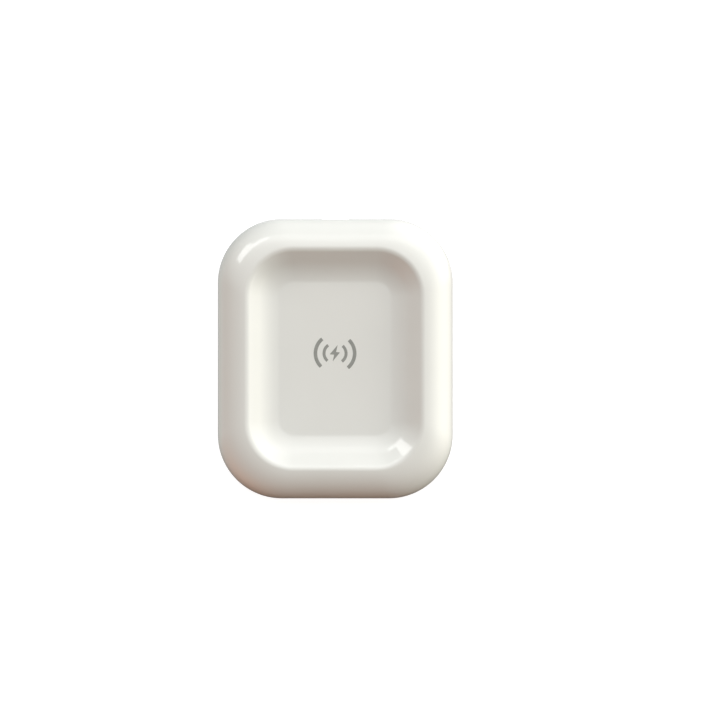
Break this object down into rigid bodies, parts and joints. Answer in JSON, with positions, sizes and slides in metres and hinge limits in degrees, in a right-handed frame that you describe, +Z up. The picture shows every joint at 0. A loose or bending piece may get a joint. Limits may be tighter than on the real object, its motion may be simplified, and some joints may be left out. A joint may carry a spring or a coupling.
{
  "type": "wireless charging pad",
  "caption": "Rounded white charging tray with a dished recess for a small device, a flat spiral coil under its floor and a USB-C inlet in its rear wall.",
  "frame": {"origin": "on the resting plane under the feet, below the middle of the outline", "axes": "+Z up out of the recess, +Y from the front to the rear wall that holds the inlet, +X to the right"},
  "size_m": [0.076, 0.0904, 0.015],
  "materials": {
    "gloss_white": "glossy white ABS moulding, slightly warm",
    "satin_white": "fine satin texture, white",
    "grey_ink": "flat grey pad-printed ink",
    "silicone": "soft translucent grey-white silicone",
    "zinc_steel": "zinc-plated steel",
    "clear_resin": "clear moulded acrylic",
    "adhesive_film": "thin double-sided adhesive film",
    "copper_litz": "enamelled stranded copper wire",
    "ferrite": "dark sintered ferrite sheet",
    "black_foam": "closed-cell black foam",
    "epoxy_bead": "dipped brown epoxy bead",
    "red_insulation": "enamelled lead wire",
    "green_laminate": "green solder mask on glass-fibre laminate",
    "bright_steel": "bright nickel-plated steel",
    "black_resin": "black liquid-crystal polymer",
    "gold_plate": "gold-plated contact",
    "black_epoxy": "black moulding compound",
    "tan_ceramic": "tan ceramic capacitor body",
    "lamp_resin": "diffusing resin of a small lamp",
    "solder": "tin solder"
  },
  "bodies": {
    "root": {"top_shell": "gloss_white", "base_cover": "satin_white", "charge_icon": "grey_ink", "foot_front_left": "silicone", "foot_front_right": "silicone", "foot_rear_left": "silicone", "foot_rear_right": "silicone", "case_screws": "zinc_steel", "light_pipe": "clear_resin", "coil_tape": "adhesive_film", "charging_coil": "copper_litz", "coil_lead_inner": "copper_litz", "coil_lead_outer": "copper_litz", "ferrite_tape": "adhesive_film", "ferrite_shield": "ferrite", "support_foam": "black_foam", "temperature_sensor": "epoxy_bead", "sensor_leads": "red_insulation", "circuit_board": "green_laminate", "board_screws": "zinc_steel", "usb_shell": "bright_steel", "usb_tongue": "black_resin", "usb_contacts": "gold_plate", "transmitter_ic": "black_epoxy", "bridge_mosfets": "black_epoxy", "resonant_capacitors": "tan_ceramic", "input_capacitors": "tan_ceramic", "clock_crystal": "bright_steel", "sense_resistor": "black_epoxy", "chip_resistors": "black_epoxy", "chip_capacitors": "tan_ceramic", "status_led": "lamp_resin", "solder_joints": "solder"}
  },
  "joints": []
}
